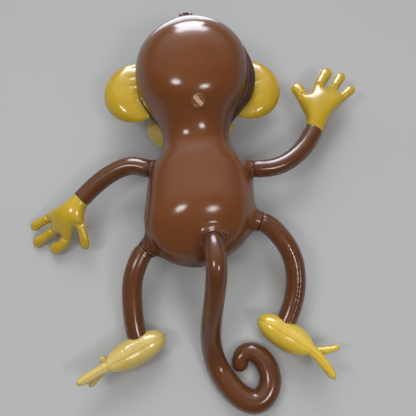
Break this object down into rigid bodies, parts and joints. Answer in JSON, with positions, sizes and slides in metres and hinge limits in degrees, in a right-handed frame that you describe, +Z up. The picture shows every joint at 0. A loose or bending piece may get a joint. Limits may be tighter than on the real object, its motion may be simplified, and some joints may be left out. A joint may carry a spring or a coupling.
{
  "type": "inflatable toy monkey",
  "caption": "Blow-up vinyl monkey lying face down: round head with ears, bent tube limbs, flat hands and feet, and an arched tail with a curled end.",
  "frame": {"origin": "on the floor under the middle of the lying toy", "axes": "+Y along the body towards the head, +Z up out of the monkey's back, +X to the side of the raised hand"},
  "size_m": [0.5362, 0.6216, 0.1731],
  "materials": {
    "brown_vinyl": "glossy chestnut brown vinyl",
    "yellow_vinyl": "glossy mustard yellow vinyl",
    "pale_gold_vinyl": "glossy pale gold vinyl",
    "pale_valve_vinyl": "soft pale pinkish vinyl"
  },
  "bodies": {
    "root": {"head_and_body": "brown_vinyl", "ear_left": "yellow_vinyl", "ear_right": "yellow_vinyl", "muzzle": "pale_gold_vinyl", "hair_tuft": "brown_vinyl", "arm_left": "brown_vinyl", "arm_right": "brown_vinyl", "hand_left": "yellow_vinyl", "hand_right": "yellow_vinyl", "leg_left": "brown_vinyl", "leg_right": "brown_vinyl", "foot_left": "pale_gold_vinyl", "foot_right": "yellow_vinyl", "tail": "brown_vinyl", "valve": "pale_valve_vinyl"}
  },
  "joints": []
}
